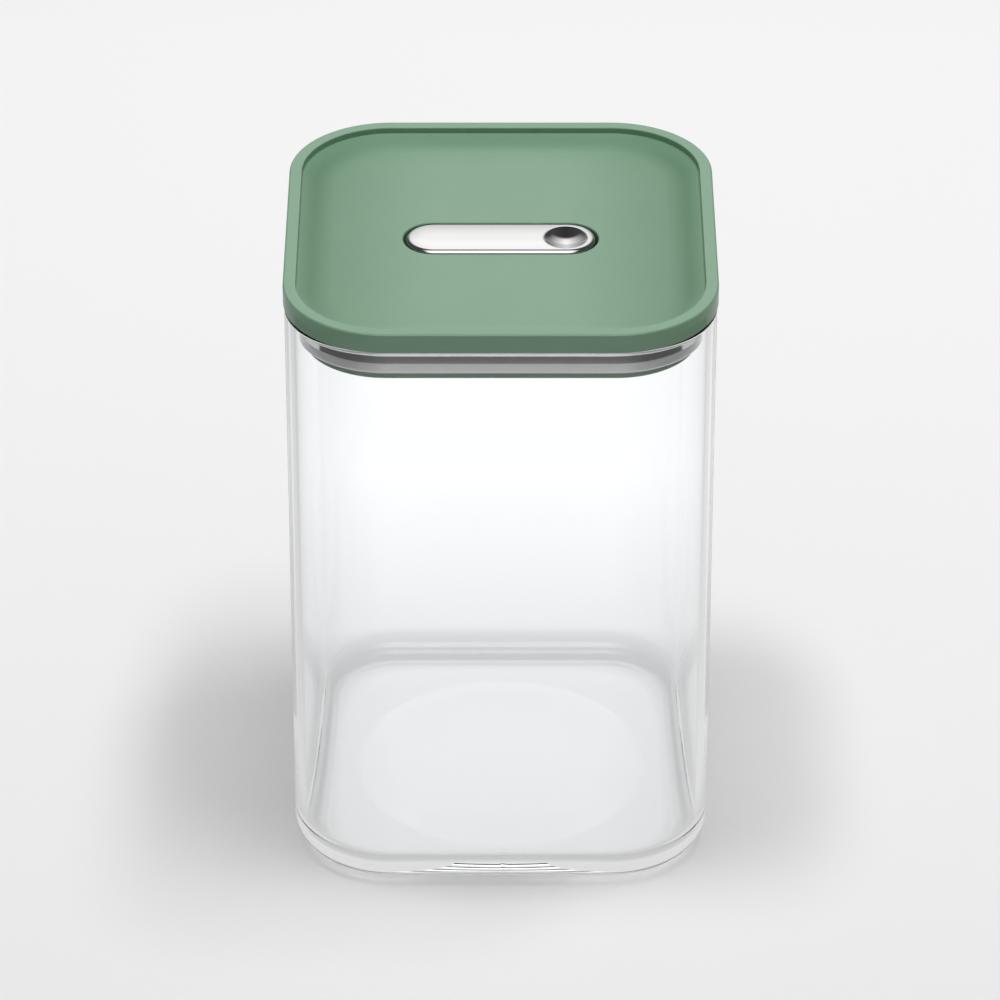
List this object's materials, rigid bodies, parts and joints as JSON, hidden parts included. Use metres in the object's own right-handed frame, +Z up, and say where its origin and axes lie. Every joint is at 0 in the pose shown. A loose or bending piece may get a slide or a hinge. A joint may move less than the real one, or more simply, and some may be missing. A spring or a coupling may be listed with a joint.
{
  "type": "food storage container with rocker-handle lid",
  "caption": "Square clear glass food container with a matte green tray lid, a polished steel rocker handle that tips up, and a steel-banded plunger that frees the seal.",
  "frame": {"origin": "middle of the footprint, on the table", "axes": "+Z up, +X along the handle towards its finger dish, -Y the front"},
  "size_m": [0.13, 0.13, 0.2],
  "materials": {
    "clear_glass": "gloss",
    "green_matte": "matte",
    "polished_steel": "polished",
    "plain_steel": "satin",
    "silicone": "matte",
    "acetal": "satin"
  },
  "bodies": {
    "jar": {"glass_jar": "clear_glass"},
    "lid": {"lid_cover": "green_matte", "handle_well": "green_matte", "seal_gasket": "silicone", "pivot_pin": "plain_steel", "catch_clip": "plain_steel", "rest_pad": "silicone", "well_screw_1": "plain_steel", "well_screw_2": "plain_steel", "well_screw_3": "plain_steel", "well_screw_4": "plain_steel"},
    "handle": {"handle_plate": "polished_steel", "handle_core": "green_matte", "crank_pin": "plain_steel"},
    "plunger": {"lid_pan": "green_matte", "steel_skirt": "polished_steel", "pull_post": "acetal", "post_screw": "plain_steel", "sealing_washer": "silicone", "screw_cap": "green_matte", "return_spring": "plain_steel"}
  },
  "joints": [
    {"name": "lid_lift", "type": "slide", "parent": "jar", "child": "lid", "axis": [0, 0, 1], "range_m": [0, 0.06]},
    {"name": "handle_tip", "type": "hinge", "parent": "lid", "child": "handle", "pos_m": [0.006, 0, 0.1917], "axis": [0, 1, 0], "range_deg": [0, 20]},
    {"name": "seal_drop", "type": "slide", "parent": "lid", "child": "plunger", "axis": [0, 0, -1], "range_m": [0, 0.00172], "deforming": ["return_spring"]}
  ],
  "couplings": [
    {"joint": "seal_drop", "follows": "handle_tip", "m_per_rad": 0.0048991}
  ]
}
